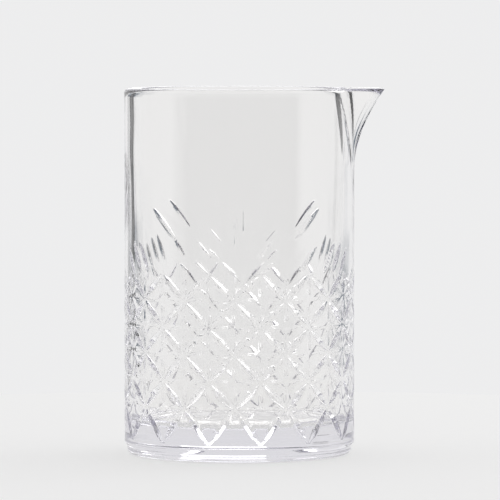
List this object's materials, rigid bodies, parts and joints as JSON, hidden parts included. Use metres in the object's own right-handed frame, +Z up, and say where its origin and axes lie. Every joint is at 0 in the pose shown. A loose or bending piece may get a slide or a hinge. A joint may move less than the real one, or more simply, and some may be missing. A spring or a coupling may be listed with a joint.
{
  "type": "mixing glass",
  "caption": "Tall straight-sided mixing glass of clear cut pressed glass, with a thick base and a drawn pouring lip",
  "frame": {"origin": "centre of the ring that the glass stands on, on the axis of the glass", "axes": "+Z up along the axis of the glass, +X towards the pouring lip, +Y completes a right-handed frame"},
  "size_m": [0.1079, 0.095, 0.151],
  "materials": {
    "clear_glass": "clear fire-polished pressed glass, cut pattern with crisp edges"
  },
  "bodies": {
    "root": {"glass_body": "clear_glass"}
  },
  "joints": []
}
